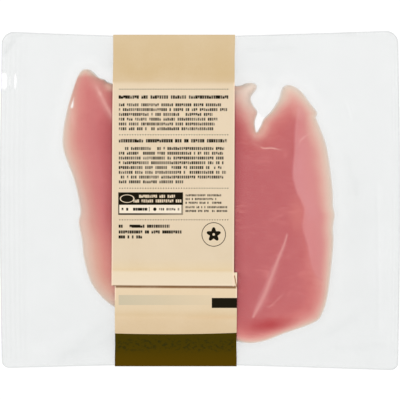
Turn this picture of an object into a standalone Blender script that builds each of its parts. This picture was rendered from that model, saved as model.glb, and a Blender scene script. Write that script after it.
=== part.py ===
"""A vacuum pack of raw turkey breast fillets, lying on its front, with a paper sleeve round its middle.

Two pieces: the sealed pack, whose clear webs cling to the fillets, and the sleeve, a strip of
paper wrapped once round the pack with its ends lapped on the side that faces up.
The frame: X along the pack, Y along the fillets, Z up, origin on the table under the middle.
Lengths are in millimetres until a mesh is made.
"""

import math

import bmesh
import bpy
import numpy as np
from mathutils.geometry import delaunay_2d_cdt

MM = 0.001

# The sealed pack.
PACK_X = 260.0
PACK_Y = 220.0
CORNER_RADIUS = 6.5
SIDE_BOW = 1.5  # the short sides stand out this far in their middle
# How far each long edge is drawn in: at its left end, at both sides of the sleeve, and at its right end.
UPPER_DRAW = (0.6, 2.9, 2.9, 0.0)
LOWER_DRAW = (1.4, 2.9, 2.9, 0.0)
WEB = 0.8  # the two webs, sealed to each other round the fillets
SEAL_Z = 5.5  # the middle of the sealed webs above the table
CURL = 1.6  # the free corners lift by this much

# The flesh inside.
CROWN_Z = 18.2  # the highest point of the film over the fillets
LIP = 1.7  # half the thickness of the fillets at their very edge
TOP_REACH = 19.0  # the rounding of the upper side ends this far in from the edge
UNDER_REACH = 12.0
CLING = 4.0  # width of the strip of film that runs down from the flesh to the seal

# The sleeve.
SLEEVE_WIDTH = 78.8
LEADING_X = -15.4  # middle of the strip at its leading end, which lies underneath
TRAILING_X = -17.5  # middle of the strip at its trailing end, which lies on top
PAPER = 0.35
AIR = 0.3  # clearance between the paper and what it touches
LAP_FROM_Y = -46.2  # where the leading end starts, on the upper side
LAP_TO_Y = -54.9  # where the trailing end stops
LAP_CLIMB = 6.0  # length over which the trailing end climbs on to the leading end
CREST_Y = 75.5  # the paper bends here, where it comes off the fillets
CREST_Z = 16.2
CREST_BEND = 5.0  # radius of that bend
FLOOR_Y = 92.0  # the paper leaves the table here
FLOOR_BEND = 25.0
TURN_Y = 107.6  # the middle of the paper where it turns round the edge of the pack
TURN_BEND = 1.1

# The pack keeps below this line under the sleeve, from the crown to the long edges.
CEILING_Y = (50.0, 58.5, CREST_Y, TURN_Y)
CEILING_Z = (CROWN_Z, CROWN_Z - 0.2, CREST_Z - PAPER / 2 - 1.4 * AIR, SEAL_Z + 0.4)

# Outline of the flesh as it shows through the film, clockwise from the tip of the left fillet.
# The two fillets meet under the sleeve, at the notches in the upper and lower edges.
LEFT_TIP = [(-75.4, 85.6), (-70.9, 84.2), (-62.4, 77.6), (-48.0, 72.0)]
UPPER_NOTCH = [(-27.0, 65.4), (-20.5, 62.6), (-14.0, 66.4), (10.0, 73.6)]
INNER_LOBE = [(25.8, 75.8), (31.8, 76.4), (36.4, 74.4), (34.4, 70.2), (33.2, 65.6), (37.0, 58.6), (35.8, 49.6)]
FORK = [(37.0, 44.0), (41.2, 52.2), (46.4, 58.9), (52.2, 69.2)]
OUTER_LOBE = [(54.4, 73.2), (57.2, 74.4), (66.0, 70.0), (76.0, 56.4), (76.4, 52.6)]
RIGHT_SIDE = [(82.6, 34.0), (86.4, 8.0), (86.9, -3.6), (88.0, -9.4), (87.0, -30.0), (83.0, -60.0)]
RIGHT_FOOT = [(79.6, -73.6), (74.0, -79.6), (54.0, -86.2), (43.0, -90.6), (33.0, -92.4), (24.0, -91.2)]
LOWER_NOTCH = [(10.0, -88.4), (-14.0, -76.4), (-19.5, -71.0), (-27.0, -73.6), (-40.0, -74.4)]
LEFT_FOOT = [(-57.0, -69.2), (-69.4, -57.6), (-75.4, -37.6), (-77.2, -24.0), (-79.0, -14.6), (-77.6, -8.6)]
LEFT_SIDE = [(-82.4, 14.0), (-88.4, 34.0), (-88.6, 46.0), (-84.4, 67.0), (-78.6, 82.6)]
FLESH_OUTLINE = (
    LEFT_TIP + UPPER_NOTCH + INNER_LOBE + FORK + OUTER_LOBE
    + RIGHT_SIDE + RIGHT_FOOT + LOWER_NOTCH + LEFT_FOOT + LEFT_SIDE
)

# How finely the pack is faceted.
OUTLINE_STEP = 3.4
RIM_STEP = 9.0
FIELD_STEP = 9.5
UPPER_RINGS = (-CLING, 2.2, 6.0, 12.0)  # depths, counted inwards from the outline
UNDER_RINGS = (-CLING, 3.0)


def clear_scene():
    for obj in list(bpy.data.objects):
        bpy.data.objects.remove(obj, do_unlink=True)


def closed_curve(points, step):
    """Points about a step apart on a smooth closed curve through the given ones."""
    knots = np.array(points, float)
    before, after = np.roll(knots, 1, axis=0), np.roll(knots, -1, axis=0)
    beyond = np.roll(knots, -2, axis=0)
    made = []
    for p0, p1, p2, p3 in zip(before, knots, after, beyond):
        count = max(1, round(float(np.linalg.norm(p2 - p1)) / step))
        for t in np.arange(count) / count:
            bend = 2 * p0 - 5 * p1 + 4 * p2 - p3
            twist = -p0 + 3 * p1 - 3 * p2 + p3
            made.append(0.5 * (2 * p1 + (p2 - p0) * t + bend * t**2 + twist * t**3))
    return np.array(made)


def depth_in(points, outline):
    """Distance of each point from the outline: above 0 inside it, below 0 outside."""
    start, end = outline, np.roll(outline, -1, axis=0)
    along = end - start
    depths = np.empty(len(points))
    for i, point in enumerate(points):
        share = ((point - start) * along).sum(1) / (along**2).sum(1)
        nearest = start + np.clip(share, 0, 1)[:, None] * along
        distance = np.sqrt(((point - nearest) ** 2).sum(1).min())
        straddles = (start[:, 1] > point[1]) != (end[:, 1] > point[1])
        rises = np.where(along[:, 1] == 0, 1.0, along[:, 1])
        crossing = start[:, 0] + (point[1] - start[:, 1]) / rises * along[:, 0]
        inside = (straddles & (crossing > point[0])).sum() % 2 == 1
        depths[i] = distance if inside else -distance
    return depths


def arc(centre, radius, start, end, steps):
    """Points on an arc, its angles in degrees."""
    angles = np.radians(np.linspace(start, end, steps + 1))
    return [(centre[0] + radius * math.cos(a), centre[1] + radius * math.sin(a)) for a in angles]


def rim_outline():
    """The cut edge of the pack, anticlockwise: a rounded rectangle with bowed sides and a drawn-in waist."""
    half_x, half_y = PACK_X / 2, PACK_Y / 2
    inset_x, inset_y = half_x - CORNER_RADIUS, half_y - CORNER_RADIUS
    corners = [(inset_x, inset_y, 0), (-inset_x, inset_y, 90), (-inset_x, -inset_y, 180), (inset_x, -inset_y, 270)]
    square = []
    for i, (x, y, turn) in enumerate(corners):
        square += arc((x, y), CORNER_RADIUS, turn, turn + 90, 4)
        next_x, next_y, next_turn = corners[(i + 1) % 4]
        from_point = np.array(square[-1])
        to_point = np.array(arc((next_x, next_y), CORNER_RADIUS, next_turn, next_turn, 0)[0])
        count = round(float(np.linalg.norm(to_point - from_point)) / RIM_STEP)
        square += [tuple(from_point + (to_point - from_point) * k / count) for k in range(1, count)]
    band_left = TRAILING_X - SLEEVE_WIDTH / 2
    band_right = LEADING_X + SLEEVE_WIDTH / 2
    drawn = []
    for x, y in square:
        waist = np.interp(x, [-inset_x, band_left, band_right, inset_x], UPPER_DRAW if y > 0 else LOWER_DRAW)
        bow = SIDE_BOW * (y / half_y) ** 2
        drawn.append((x * (1 - bow / half_x), y * (1 - waist / half_y)))
    return np.array(drawn)


def seal_height(points):
    """Height of the middle of the sealed webs: level by the flesh, lifting towards the free corners."""
    x_share = np.abs(points[:, 0]) / (PACK_X / 2)
    y_share = np.abs(points[:, 1]) / (PACK_Y / 2)
    return SEAL_Z + CURL * (x_share * y_share) ** 4


def rounded(depth, reach):
    """A quarter ellipse: 0 at the edge, 1 from the reach inwards."""
    share = np.clip(depth / reach, 0, 1)
    return np.sqrt(1 - (1 - share) ** 2)


def bulge(depth, reach, crown):
    """How far the film stands off the seal where the flesh is this deep in from its edge."""
    over_flesh = LIP + (crown - LIP) * rounded(depth, reach)
    beside_flesh = LIP * np.clip(1 + depth / CLING, 0, 1) ** 2
    return np.where(depth > 0, over_flesh, beside_flesh)


def upper_height(points, depth):
    """The fillets thin out towards the long edges, where the sleeve slopes down over them."""
    seal = seal_height(points) + WEB / 2
    free = seal + bulge(depth, TOP_REACH, CROWN_Z - SEAL_Z - WEB / 2)
    ceiling = np.interp(np.abs(points[:, 1]), CEILING_Y, CEILING_Z)
    return np.minimum(free, ceiling)


def under_height(points, depth):
    """The flesh rests on the table, but for the stretch that lies on the sleeve."""
    seal = seal_height(points) - WEB / 2
    low = seal - bulge(depth, UNDER_REACH, SEAL_Z - WEB / 2)
    middle = (LEADING_X + TRAILING_X) / 2
    off_sleeve = np.abs(points[:, 0] - middle) - SLEEVE_WIDTH / 2
    lift = (PAPER + AIR) * np.clip(1.6 - off_sleeve / FIELD_STEP, 0, 1)
    return np.maximum(low, lift)


def ring_points(outline, depth):
    """The outline moved inwards by the depth, less the points where it would cross itself."""
    tangent = np.roll(outline, -1, axis=0) - np.roll(outline, 1, axis=0)
    tangent /= np.linalg.norm(tangent, axis=1)[:, None]
    inward = np.column_stack([tangent[:, 1], -tangent[:, 0]])
    moved = outline + inward * depth
    found = depth_in(moved, outline)
    return moved[np.abs(found - depth) < 0.12 * abs(depth)]


def field_points(rim):
    """A triangular lattice over the whole pack, kept off its edge."""
    rows = []
    pitch = FIELD_STEP * math.sin(math.radians(60))
    for row, y in enumerate(np.arange(-PACK_Y / 2, PACK_Y / 2, pitch)):
        shift = FIELD_STEP / 2 * (row % 2)
        rows += [(x + shift, y) for x in np.arange(-PACK_X / 2, PACK_X / 2, FIELD_STEP)]
    lattice = np.array(rows)
    return lattice[depth_in(lattice, rim) > FIELD_STEP / 2]


def spread_out(groups):
    """Joins the groups of (points, spacing), leaving out any point too near one taken before."""
    taken = np.empty((0, 2))
    for points, spacing in groups:
        for point in points:
            if len(taken) == 0 or ((taken - point) ** 2).sum(1).min() > spacing**2:
                taken = np.vstack([taken, point])
    return taken


def web_points(rim, outline, rings):
    """Points of one web in plan. The rim comes first, then the outline of the flesh."""
    fixed = [(rim, 0.0), (outline, 0.0)]
    ringed = [(ring_points(outline, depth), OUTLINE_STEP * 0.62 + abs(depth) * 0.12) for depth in rings]
    return spread_out(fixed + ringed + [(field_points(rim), FIELD_STEP * 0.6)])


def add_web(mesh, rim, outline, rings, height, facing_up):
    """Adds one web to the mesh as triangles and returns its vertices along the rim."""
    plan = web_points(rim, outline, rings)
    depth = depth_in(plan, outline)
    level = height(plan, depth)
    around = list(range(len(rim)))
    flesh = range(len(rim), len(rim) + len(outline))
    flesh_edges = [(a, b) for a, b in zip(flesh, [*flesh[1:], flesh[0]])]
    _, _, triangles, origins, _, _ = delaunay_2d_cdt(
        [tuple(p) for p in plan], flesh_edges, [around], 1, 1e-5
    )
    vertices = [mesh.verts.new((x * MM, y * MM, z * MM)) for (x, y), z in zip(plan, level)]
    for triangle in triangles:
        corners = [vertices[origins[v][0]] for v in triangle]
        mesh.faces.new(corners if facing_up else corners[::-1])
    return vertices[: len(rim)]


def plain_material(name, colour, roughness):
    material = bpy.data.materials.new(name)
    material.use_nodes = True
    shader = material.node_tree.nodes["Principled BSDF"]
    shader.inputs["Base Color"].default_value = (*colour, 1)
    shader.inputs["Roughness"].default_value = roughness
    shader.inputs["Metallic"].default_value = 0
    return material


def add_object(name, mesh, material):
    data = bpy.data.meshes.new(name)
    mesh.to_mesh(data)
    mesh.free()
    data.materials.append(material)
    data.shade_smooth()
    data.set_sharp_from_angle(angle=math.radians(35))
    obj = bpy.data.objects.new(name, data)
    bpy.context.scene.collection.objects.link(obj)
    return obj


def build_pack():
    rim = rim_outline()
    outline = closed_curve(FLESH_OUTLINE, OUTLINE_STEP)
    mesh = bmesh.new()
    upper = add_web(mesh, rim, outline, UPPER_RINGS, upper_height, True)
    under = add_web(mesh, rim, outline, UNDER_RINGS, under_height, False)
    for i in range(len(rim)):
        j = (i + 1) % len(rim)
        mesh.faces.new([under[i], under[j], upper[j], upper[i]])
    return add_object("pack", mesh, plain_material("sealed_pack", (0.78, 0.36, 0.34), 0.25))


def filleted(corners):
    """A path in the (y, z) plane through corners of (y, z, radius, steps), each one rounded."""
    path = []
    for i, (y, z, radius, steps) in enumerate(corners):
        here = np.array([y, z])
        if i in (0, len(corners) - 1):
            path.append(here)
            continue
        back = np.array(corners[i - 1][:2]) - here
        on = np.array(corners[i + 1][:2]) - here
        back /= np.linalg.norm(back)
        on /= np.linalg.norm(on)
        half = math.acos(float(np.clip(back @ on, -1, 1))) / 2
        middle = here + (back + on) / np.linalg.norm(back + on) * radius / math.sin(half)
        start = here + back * radius / math.tan(half)
        end = here + on * radius / math.tan(half)
        a0 = math.atan2(*(start - middle)[::-1])
        a1 = math.atan2(*(end - middle)[::-1])
        sweep = (a1 - a0 + math.pi) % (2 * math.pi) - math.pi
        for k in range(steps + 1):
            a = a0 + sweep * k / steps
            path.append(middle + radius * np.array([math.cos(a), math.sin(a)]))
    return np.array(path)


def sleeve_path():
    """The middle of the paper in the (y, z) plane, from the leading end to the trailing end.

    It runs down the upper side, round the lower edge of the pack, along the table, round the
    other edge and back over the top, where it climbs on to the leading end.
    """
    top_z = CROWN_Z + AIR + PAPER / 2
    table_z = PAPER / 2
    lap = PAPER + AIR
    return filleted(
        [
            (LAP_FROM_Y, top_z, 0, 0),
            (-CREST_Y + 17.0, top_z, 60.0, 4),
            (-CREST_Y, CREST_Z, CREST_BEND, 4),
            (-TURN_Y, SEAL_Z + 0.9, TURN_BEND, 3),
            (-TURN_Y, SEAL_Z - 0.9, TURN_BEND, 3),
            (-FLOOR_Y, table_z, FLOOR_BEND, 4),
            (FLOOR_Y, table_z, FLOOR_BEND, 4),
            (TURN_Y, SEAL_Z - 0.9, TURN_BEND, 3),
            (TURN_Y, SEAL_Z + 0.9, TURN_BEND, 3),
            (CREST_Y, CREST_Z, CREST_BEND, 4),
            (CREST_Y - 17.0, top_z, 60.0, 4),
            (LAP_FROM_Y + LAP_CLIMB + 2.0, top_z, 4.0, 3),
            (LAP_FROM_Y + 2.0, top_z + lap, 4.0, 3),
            (LAP_TO_Y, top_z + lap, 0, 0),
        ]
    )


def build_sleeve():
    """The strip swept along its path, drifting a little sideways from one end to the other."""
    path = sleeve_path()
    forward = np.gradient(path, axis=0)
    forward /= np.linalg.norm(forward, axis=1)[:, None]
    outward = np.column_stack([forward[:, 1], -forward[:, 0]])
    travelled = np.concatenate([[0], np.cumsum(np.linalg.norm(np.diff(path, axis=0), axis=1))])
    middle_x = LEADING_X + (TRAILING_X - LEADING_X) * travelled / travelled[-1]
    mesh = bmesh.new()
    sections = []
    for (y, z), (out_y, out_z), x in zip(path, outward, middle_x):
        ring = []
        for side, face in ((-1, -1), (1, -1), (1, 1), (-1, 1)):
            across = x + side * SLEEVE_WIDTH / 2
            height = face * PAPER / 2
            ring.append(mesh.verts.new((across * MM, (y + out_y * height) * MM, (z + out_z * height) * MM)))
        sections.append(ring)
    for near, far in zip(sections, sections[1:]):
        for k in range(4):
            mesh.faces.new([near[k], near[(k + 1) % 4], far[(k + 1) % 4], far[k]])
    mesh.faces.new(sections[0][::-1])
    mesh.faces.new(sections[-1])
    bmesh.ops.recalc_face_normals(mesh, faces=mesh.faces)
    return add_object("sleeve", mesh, plain_material("sleeve_paper", (0.79, 0.66, 0.47), 0.6))


clear_scene()
build_pack()
build_sleeve()
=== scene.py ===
import math

import bpy
import numpy as np
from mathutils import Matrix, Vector, noise
from mathutils.geometry import delaunay_2d_cdt


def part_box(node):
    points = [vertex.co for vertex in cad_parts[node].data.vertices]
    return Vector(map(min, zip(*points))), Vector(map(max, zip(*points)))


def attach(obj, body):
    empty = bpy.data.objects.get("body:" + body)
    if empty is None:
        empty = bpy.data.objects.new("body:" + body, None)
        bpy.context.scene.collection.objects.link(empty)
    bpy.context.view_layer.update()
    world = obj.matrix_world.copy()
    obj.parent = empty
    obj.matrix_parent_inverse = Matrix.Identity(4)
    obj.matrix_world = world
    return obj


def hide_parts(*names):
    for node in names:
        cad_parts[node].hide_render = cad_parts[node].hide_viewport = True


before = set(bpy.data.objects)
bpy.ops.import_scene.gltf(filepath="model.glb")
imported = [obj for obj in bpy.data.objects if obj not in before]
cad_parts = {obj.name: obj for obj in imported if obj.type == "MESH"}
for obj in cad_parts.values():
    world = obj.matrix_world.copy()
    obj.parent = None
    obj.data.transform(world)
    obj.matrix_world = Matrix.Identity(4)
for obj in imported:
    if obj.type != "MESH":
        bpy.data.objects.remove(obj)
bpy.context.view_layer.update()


# The fillets -----------------------------------------------------------
# Two raw breast fillets side by side, thin tips to the top, thick inner edges pressed together under
# the sleeve. The flesh is wet and pink, cream at its thin rim; the right one has a forked tip, a flap
# of pale silverskin and a white tendon. Lengths are in millimetres until a mesh is made.

MM = 0.001
HALF_X, HALF_Y, CROWN_Z = (np.array(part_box("pack")[1]) / MM).tolist()
SEAL_Z = 5.5
CURL = 1.6  # of the corners, above the seal
FILM = 0.12  # thickness of one web
SLACK = 0.1  # juice between the flesh and its film
SLEEVE_LEFT, SLEEVE_RIGHT = (corner[0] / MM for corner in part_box("sleeve"))
SLEEVE_MIDDLE = (SLEEVE_LEFT + SLEEVE_RIGHT) / 2
HALF_SLEEVE = 39.25
LEADING_X = -15.45  # middle of the strip's leading end
TRAILING_X = -17.55
CREST_Y = 75.5
CREST_Z = 16.2
TURN_Y = 107.6

LEFT_TIP = [
    (-77.4, 84.2), (-75.6, 85.4), (-72.4, 85.5), (-70.2, 84.2), (-68.3, 82.6), (-66.8, 80.9),
    (-64.4, 79.4), (-61.9, 78.7), (-60.6, 77.4), (-57.6, 76.2), (-48, 72.6),
]
UPPER_NOTCH = [(-27, 65.4), (-20.5, 62.6), (-14, 66.4), (10, 73.6)]
INNER_LOBE = [
    (25.4, 74.7), (29, 76), (33.4, 76.6), (36.8, 75.2), (36.7, 72.2), (34.5, 69.4), (33, 66.8),
    (33.5, 64), (35.3, 60.8), (37.3, 58), (37.3, 56.2), (36.3, 53.4), (35.6, 49.8),
]
FORK = [(36.7, 44.5), (38.1, 46.3), (39.8, 49.4), (41.2, 52.8), (46.2, 58.2), (48.8, 62), (51.3, 66.2)]
OUTER_LOBE = [
    (52.4, 70.4), (53.6, 73.4), (56.6, 75.2), (61, 74.4), (66, 70.8), (70.2, 65.4), (76.3, 57),
    (75.4, 54.2), (77.2, 49.6),
]
RIGHT_SIDE = [
    (82.6, 34), (86.2, 8), (86.6, -3.6), (87.7, -9.4), (86.6, -18), (86.7, -30), (83.4, -60),
]
RIGHT_FOOT = [(79.5, -73.6), (73.8, -79.6), (54.2, -86.8), (43.1, -91.1), (33, -92.9), (24, -91.6)]
LOWER_NOTCH = [(10, -88.4), (-14, -76.4), (-19.5, -71), (-27, -73.6), (-40, -74.4)]
LEFT_FOOT = [
    (-57, -68.6), (-69.8, -55.4), (-75.4, -38.6), (-76.8, -26), (-79, -14.4), (-77.9, -8.4),
    (-78.5, -1.6),
]
LEFT_SIDE = [(-82.2, 14), (-88.7, 32), (-89.2, 44), (-86.6, 58.8), (-83.4, 69.9), (-80, 80)]
PRESSED_EDGE = [(-18.4, 45), (-20.6, 14), (-22.6, -18), (-20.4, -50)]  # from top to bottom

HALF_GAP = 0.15
left_edge = [UPPER_NOTCH[1]] + PRESSED_EDGE + [LOWER_NOTCH[2]]
LEFT_FILLET = (
    LEFT_TIP + UPPER_NOTCH[:1] + [(x - HALF_GAP, y) for x, y in left_edge]
    + LOWER_NOTCH[3:] + LEFT_FOOT + LEFT_SIDE
)
RIGHT_FILLET = (
    UPPER_NOTCH[2:] + INNER_LOBE + FORK + OUTER_LOBE + RIGHT_SIDE + RIGHT_FOOT
    + LOWER_NOTCH[:2] + [(x + HALF_GAP, y) for x, y in reversed(left_edge)]
)
FLESH_OUTLINE = (
    LEFT_TIP + UPPER_NOTCH + INNER_LOBE + FORK + OUTER_LOBE
    + RIGHT_SIDE + RIGHT_FOOT + LOWER_NOTCH + LEFT_FOOT + LEFT_SIDE
)

FLAP_EDGE = [
    (62.9, 62), (62.4, 56), (61.2, 47.6), (60.7, 39.3), (60.4, 31), (59.6, 22.6), (59.4, 16.2),
    (60.7, 9.8), (62.2, 4.6), (64.4, 0.3), (66.8, -5.8), (66.1, -11.6), (65.6, -16.7), (67.2, -23.2),
    (69.2, -29.3), (70.3, -36.1), (72.2, -43.5), (75, -48.6), (78.8, -53),
]
TENDON = [
    (55.9, -22.3), (53.8, -29.3), (50.7, -36.7), (46.7, -47.1), (43.2, -56.7), (39, -65.7), (34.4, -74.8),
]
# Lines along the fold of the left tip, raised a little and carrying a painted highlight.
TIP_FOLD_HIGHLIGHT = [
    (-69, 76), (-66.2, 72.4), (-64.3, 68.8), (-62.4, 64.6), (-59.8, 59.8), (-57.2, 55.2), (-55.4, 50),
]
TIP_CREST_HIGHLIGHT = [(-66.6, 73), (-64.6, 69.2), (-62.6, 64.8)]
# The wet gleam on the left edge, a painted highlight, and its paler tail, also painted.
GLEAM = [(-81.5, 66.4), (-82.2, 63.4), (-82.8, 60.6)]
GLEAM_TAIL = [(-82.9, 60), (-82.6, 54), (-81, 47)]
NERVE = [(37.4, 35.4), (41.1, 33.6), (46.2, 33.7), (52, 32.5)]
VEIN = [(63.8, 36.2), (64.9, 38.8), (68, 41.4), (70.2, 42.5)]
THREAD = [(40.7, -66.9), (44, -68.5), (47.2, -66.5), (51.5, -62), (54, -59.6), (52.8, -58.4)]


def curve_through(points, step, closed=False):
    """Points about a step apart on a smooth curve through the given ones."""
    knots = np.array(points, float)
    if not closed:
        knots = np.vstack([2 * knots[0] - knots[1], knots, 2 * knots[-1] - knots[-2]])
    before, after, beyond = (np.roll(knots, turn, axis=0) for turn in (1, -1, -2))
    spans = range(len(knots)) if closed else range(1, len(knots) - 2)
    made = []
    for i in spans:
        p0, p1, p2, p3 = before[i], knots[i], after[i], beyond[i]
        count = max(1, round(math.dist(p1, p2) / step))
        for t in np.arange(count) / count:
            bend = 2 * p0 - 5 * p1 + 4 * p2 - p3
            twist = -p0 + 3 * p1 - 3 * p2 + p3
            made.append(0.5 * (2 * p1 + (p2 - p0) * t + bend * t**2 + twist * t**3))
    if not closed:
        made.append(knots[-2])
    return np.array(made)


BATCH = 1000  # points measured at a time


def distance_to(points, line, closed=False):
    """Distance of each point from a line, and the side it lies on: 1 to the right, -1 to the left."""
    start = line if closed else line[:-1]
    along = np.roll(line, -1, axis=0) - line if closed else np.diff(line, axis=0)
    distances = np.empty(len(points))
    sides = np.empty(len(points))
    for low in range(0, len(points), BATCH):
        batch = points[low : low + BATCH, None, :]
        share = np.clip(((batch - start) * along).sum(2) / (along**2).sum(1), 0, 1)
        apart = batch - (start + share[..., None] * along)
        squared = (apart**2).sum(2)
        nearest = squared.argmin(1)
        rows = np.arange(len(batch))
        distances[low : low + BATCH] = np.sqrt(squared[rows, nearest])
        offset = apart[rows, nearest]
        heading = along[nearest]
        sides[low : low + BATCH] = np.sign(heading[:, 1] * offset[:, 0] - heading[:, 0] * offset[:, 1])
    return distances, sides


def depth_in(points, outline):
    """Distance from a closed outline: above 0 inside it, below 0 outside."""
    distances, _ = distance_to(points, outline, closed=True)
    start, end = outline, np.roll(outline, -1, axis=0)
    rise = np.where(end[:, 1] == start[:, 1], 1, end[:, 1] - start[:, 1])
    inside = np.empty(len(points), bool)
    for low in range(0, len(points), BATCH):
        x, y = points[low : low + BATCH, 0, None], points[low : low + BATCH, 1, None]
        straddles = (start[:, 1] > y) != (end[:, 1] > y)
        crossing = start[:, 0] + (y - start[:, 1]) / rise * (end[:, 0] - start[:, 0])
        inside[low : low + BATCH] = (straddles & (crossing > x)).sum(1) % 2 == 1
    return np.where(inside, distances, -distances)


def beside(line, offset, closed=False):
    """A line moved sideways, to its right, by the offset."""
    if closed:
        heading = np.roll(line, -1, axis=0) - np.roll(line, 1, axis=0)
    else:
        heading = np.gradient(line, axis=0)
    heading /= np.linalg.norm(heading, axis=1)[:, None]
    return line + np.column_stack([heading[:, 1], -heading[:, 0]]) * offset


def ring(outline, depth):
    """The outline moved inwards by the depth, less the points where it would cross itself."""
    moved = beside(outline, depth, closed=True)
    return moved[np.abs(depth_in(moved, outline) - depth) < 0.1 * abs(depth) + 0.02]


def lattice(low, high, step):
    """A triangular lattice of points over a rectangle."""
    rows = []
    for row, y in enumerate(np.arange(low[1], high[1], step * math.sin(math.radians(60)))):
        shift = step / 2 * (row % 2)
        rows += [(x + shift, y) for x in np.arange(low[0], high[0], step)]
    return np.array(rows)


POINT_ROOM = 0.6  # between two points of a mesh


def thinned(groups, room=POINT_ROOM):
    """Joins groups of points, leaving out any that comes within the room of one taken before."""
    taken = {}
    kept = []
    for x, y in np.vstack(groups):
        column, row = int(x // room), int(y // room)
        cells = [(column + i, row + j) for i in (-1, 0, 1) for j in (-1, 0, 1)]
        near = [point for cell in cells for point in taken.get(cell, ())]
        if all((x - a) ** 2 + (y - b) ** 2 > room**2 for a, b in near):
            taken.setdefault((column, row), []).append((x, y))
            kept.append((x, y))
    return np.array(kept)


def triangulated(border, points, inner_edges=()):
    """Triangles over the border and the points inside it, whose indices follow the border's."""
    plan = np.vstack([border, points])
    face = list(range(len(border)))
    made = delaunay_2d_cdt([tuple(point) for point in plan], list(inner_edges), [face], 1, 1e-6)
    triangles, origins = made[2], made[3]
    return plan, [[origins[i][0] for i in triangle] for triangle in triangles]


def ripple(points, size, seed):
    """Smooth random relief between about -1 and 1, with bumps of the given size."""
    return np.array([noise.noise(Vector((x / size, y / size, seed))) for x, y in points])


def rounded(depth, reach):
    """A quarter ellipse: 0 at the edge, 1 from the reach inwards."""
    return np.sqrt(1 - (1 - np.clip(depth / reach, 0, 1)) ** 2)


def smooth(value, low, high):
    """0 below the low limit, 1 above the high one, with a soft step between."""
    share = np.clip((value - low) / (high - low), 0, 1)
    return share * share * (3 - 2 * share)


def between(value, start, low, high, end):
    """1 from low to high, 0 before the start and after the end, with soft steps."""
    return smooth(value, start, low) * (1 - smooth(value, high, end))


def ridge(distance, width):
    """1 at no distance, fading to nothing at about twice the width."""
    return np.exp(-((distance / width) ** 2))


def seal_height(points):
    """The middle of the seal, which curls up at the corners of the pack."""
    x, y = np.abs(points).T
    return SEAL_Z + CURL * (x / HALF_X * y / HALF_Y) ** 4


FLESH_REACH = 19
FLESH_UNDER_REACH = 12
FLAP_RISE = 0.35
TENDON_RISE = 0.3
THREAD_RISE = 0.12
CEILING_Y = (50, 58.5, CREST_Y, TURN_Y)
CEILING_Z = (CROWN_Z, CROWN_Z - 0.2, CREST_Z - 0.6, SEAL_Z + 0.4)
CARD_ROOM = 0.65 + FILM  # under the flesh where the sleeve passes
CARD_EASE = (5.7, 15.2)  # the room runs out between these distances from the sleeve

flap_edge = curve_through(FLAP_EDGE, 1.1)
tendon = curve_through(TENDON, 1.1)
gleam = curve_through(GLEAM, 0.5)
# Lines of painted highlight on the left fillet: along the tip's fold, its crest and the gleam's tail.
left_highlights = [  # (line, half width, how pale)
    (curve_through(TIP_FOLD_HIGHLIGHT, 0.8), 1.5, 0.5),
    (curve_through(TIP_CREST_HIGHLIGHT, 0.8), 1.3, 0.9),
    (curve_through(GLEAM_TAIL, 0.8), 1.3, 0.4),
]
right_threads = [
    (curve_through(NERVE, 0.8), 0.45, 0.7),
    (curve_through(VEIN, 0.8), 0.45, 0.6),
    (curve_through(THREAD, 0.8), 0.5, 0.2),
]


def flap_share(points):
    """1 on the flap of silverskin, 0 off it."""
    distance, side = distance_to(points, flap_edge)
    return smooth(-distance * side, -0.5, 0.7) * between(points[:, 1], -56, -50, 60, 68)


def selvage_share(points):
    """1 along the thicker, paler edge of the flap."""
    distance, side = distance_to(points, flap_edge)
    within = between(points[:, 1], -24, -4, 26, 50)
    return between(-distance * side, 0, 2.4, 3, 13) * within


def tendon_share(points):
    """1 along the middle of the tendon, which widens downwards and ends in a point."""
    distance, _ = distance_to(points, tendon)
    return ridge(distance, np.interp(points[:, 1], [-77, -68, -50, -22], [0.5, 1.9, 1.7, 0.6]))


def gleam_share(points):
    """1 along the middle of the wet gleam, a drop that thins out upwards."""
    distance, _ = distance_to(points, gleam)
    width = np.interp(points[:, 1], [59.5, 61.5, 66], [1, 0.9, 0.35])
    return ridge(distance, width) * (1 - 0.6 * smooth(points[:, 1], 61.5, 66.5))


def thread_and_highlight_share(points):
    """How pale the thin threads of tissue make the flesh, together with the painted highlights along the fold
    of the left tip, its crest and the gleam's tail.
    """
    share = np.zeros(len(points))
    for line, width, paleness in left_highlights + right_threads:
        distance, _ = distance_to(points, line)
        ends = np.minimum(*(np.linalg.norm(points - end, axis=1) for end in (line[0], line[-1])))
        fade = 0.2 + 0.8 * smooth(ends, 0, 5)
        share = np.maximum(share, paleness * ridge(distance, width) * fade)
    return share


def flesh_top(points, depth):
    """The upper side of the flesh: rounded at the rim, thinner to the long edges, gently uneven."""
    seal = seal_height(points)
    crown = CROWN_Z - FILM - SLACK - FLAP_RISE - seal
    swell = 0.45 * (1 + ripple(points, 26, 3)) + 0.16 * (1 + ripple(points, 9, 7))
    fade = smooth(depth, 1, 9)
    level = seal + crown * rounded(depth, FLESH_REACH) - swell * fade
    level += fade * (FLAP_RISE * flap_share(points) + TENDON_RISE * tendon_share(points))
    level += fade * THREAD_RISE * thread_and_highlight_share(points)
    ceiling = np.interp(np.abs(points[:, 1]), CEILING_Y, CEILING_Z) - FILM - SLACK
    return np.minimum(level, ceiling)


def flesh_under(points, depth):
    """The under side lies on the table, and on the sleeve where that passes below."""
    off_sleeve = np.abs(points[:, 0] - SLEEVE_MIDDLE) - HALF_SLEEVE
    rest = FILM + np.interp(off_sleeve, CARD_EASE, (CARD_ROOM, 0))
    seal = seal_height(points)
    low = seal - (seal - rest) * rounded(depth, FLESH_UNDER_REACH)
    return low + 0.15 * (1 + ripple(points, 15, 21)) * smooth(depth, 4, 12)


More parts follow.
